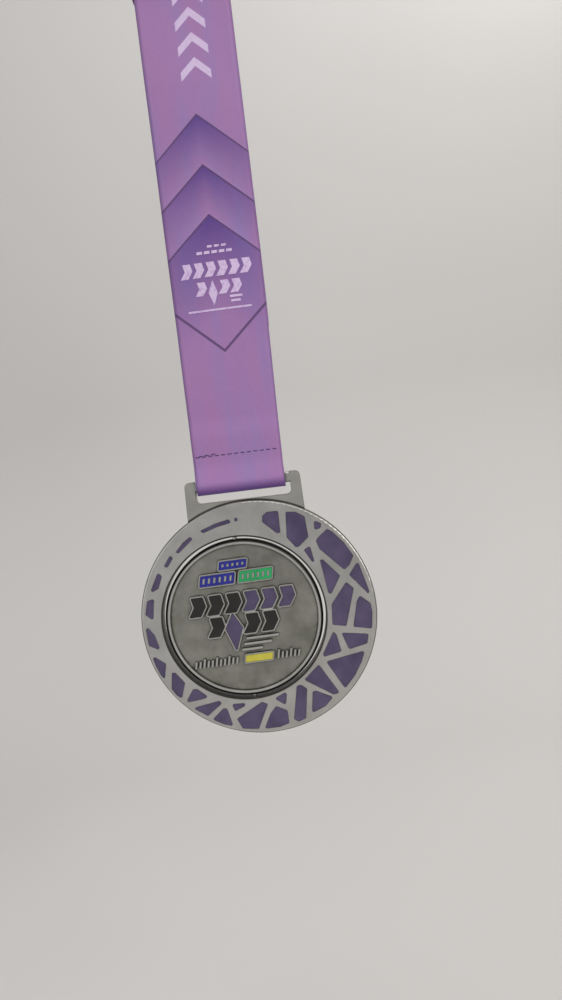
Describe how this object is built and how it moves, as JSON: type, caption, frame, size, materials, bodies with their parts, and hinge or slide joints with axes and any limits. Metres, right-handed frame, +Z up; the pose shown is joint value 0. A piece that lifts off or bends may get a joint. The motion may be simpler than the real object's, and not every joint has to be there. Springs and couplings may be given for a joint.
{
  "type": "sports finisher medal",
  "caption": "Round medal on a woven neck ribbon: a disc spins on two pins in an eccentric enamelled ring with a slotted lug; the ribbon is tied in a hank.",
  "frame": {"origin": "where a hook carries the ribbon, inside the top of its loop", "axes": "+Z up, the medal's face to -Y, +X to the right as the face is seen"},
  "size_m": [0.065, 0.0112, 0.2318],
  "materials": {
    "antique_silver": "antiqued silver plating, matt in the recesses",
    "steel_pin": "turned steel",
    "satin_ribbon": "woven polyester satin ribbon, dye-printed",
    "sewing_thread": "polyester thread",
    "tie_band": "elastic band",
    "violet_enamel": "soft enamel, satin",
    "black_enamel": "soft enamel, satin",
    "blue_enamel": "soft enamel, satin",
    "green_enamel": "soft enamel, satin",
    "yellow_enamel": "soft enamel, satin"
  },
  "bodies": {
    "ribbon": {"ribbon": "satin_ribbon", "ribbon_seam": "sewing_thread", "ribbon_tie": "tie_band"},
    "ring": {"ring_casting": "antique_silver", "ring_enamel_01": "violet_enamel", "ring_enamel_02": "violet_enamel", "ring_enamel_03": "violet_enamel", "ring_enamel_04": "violet_enamel", "ring_enamel_05": "violet_enamel", "ring_enamel_06": "violet_enamel", "ring_enamel_07": "violet_enamel", "ring_enamel_08": "violet_enamel", "ring_enamel_09": "violet_enamel", "ring_enamel_10": "violet_enamel", "ring_enamel_11": "violet_enamel", "ring_enamel_12": "violet_enamel", "ring_enamel_13": "violet_enamel", "ring_enamel_14": "violet_enamel", "ring_enamel_15": "violet_enamel", "ring_enamel_16": "violet_enamel", "ring_enamel_17": "violet_enamel", "ring_enamel_18": "violet_enamel", "ring_enamel_19": "violet_enamel", "ring_enamel_20": "violet_enamel", "ring_enamel_21": "violet_enamel", "ring_enamel_22": "violet_enamel", "ring_enamel_23": "violet_enamel", "ring_enamel_24": "violet_enamel", "ring_enamel_25": "violet_enamel", "ring_enamel_26": "violet_enamel", "ring_enamel_27": "violet_enamel", "ring_enamel_28": "violet_enamel", "ring_enamel_29": "violet_enamel", "ring_enamel_30": "violet_enamel", "ring_enamel_31": "violet_enamel"},
    "disc": {"disc_bar_yellow": "yellow_enamel", "disc_black_1": "black_enamel", "disc_black_2": "black_enamel", "disc_black_3": "black_enamel", "disc_black_7": "black_enamel", "disc_black_8": "black_enamel", "disc_black_9": "black_enamel", "disc_casting": "antique_silver", "disc_kite": "violet_enamel", "disc_plaque_blue": "blue_enamel", "disc_plaque_green": "green_enamel", "disc_plaque_upper": "blue_enamel", "disc_violet_4": "violet_enamel", "disc_violet_5": "violet_enamel", "disc_violet_6": "violet_enamel", "pivot_pin_bottom": "steel_pin", "pivot_pin_top": "steel_pin"}
  },
  "joints": [
    {"name": "medal_swing", "type": "hinge", "parent": "ribbon", "child": "ring", "pos_m": [0, -0.0039, -0.16], "axis": [1, 0, 0], "range_deg": [-110, 110]},
    {"name": "disc_spin", "type": "hinge", "parent": "ring", "child": "disc", "pos_m": [-0.004, -0.0039, -0.1971], "axis": [0, 0, 1], "continuous": true}
  ]
}
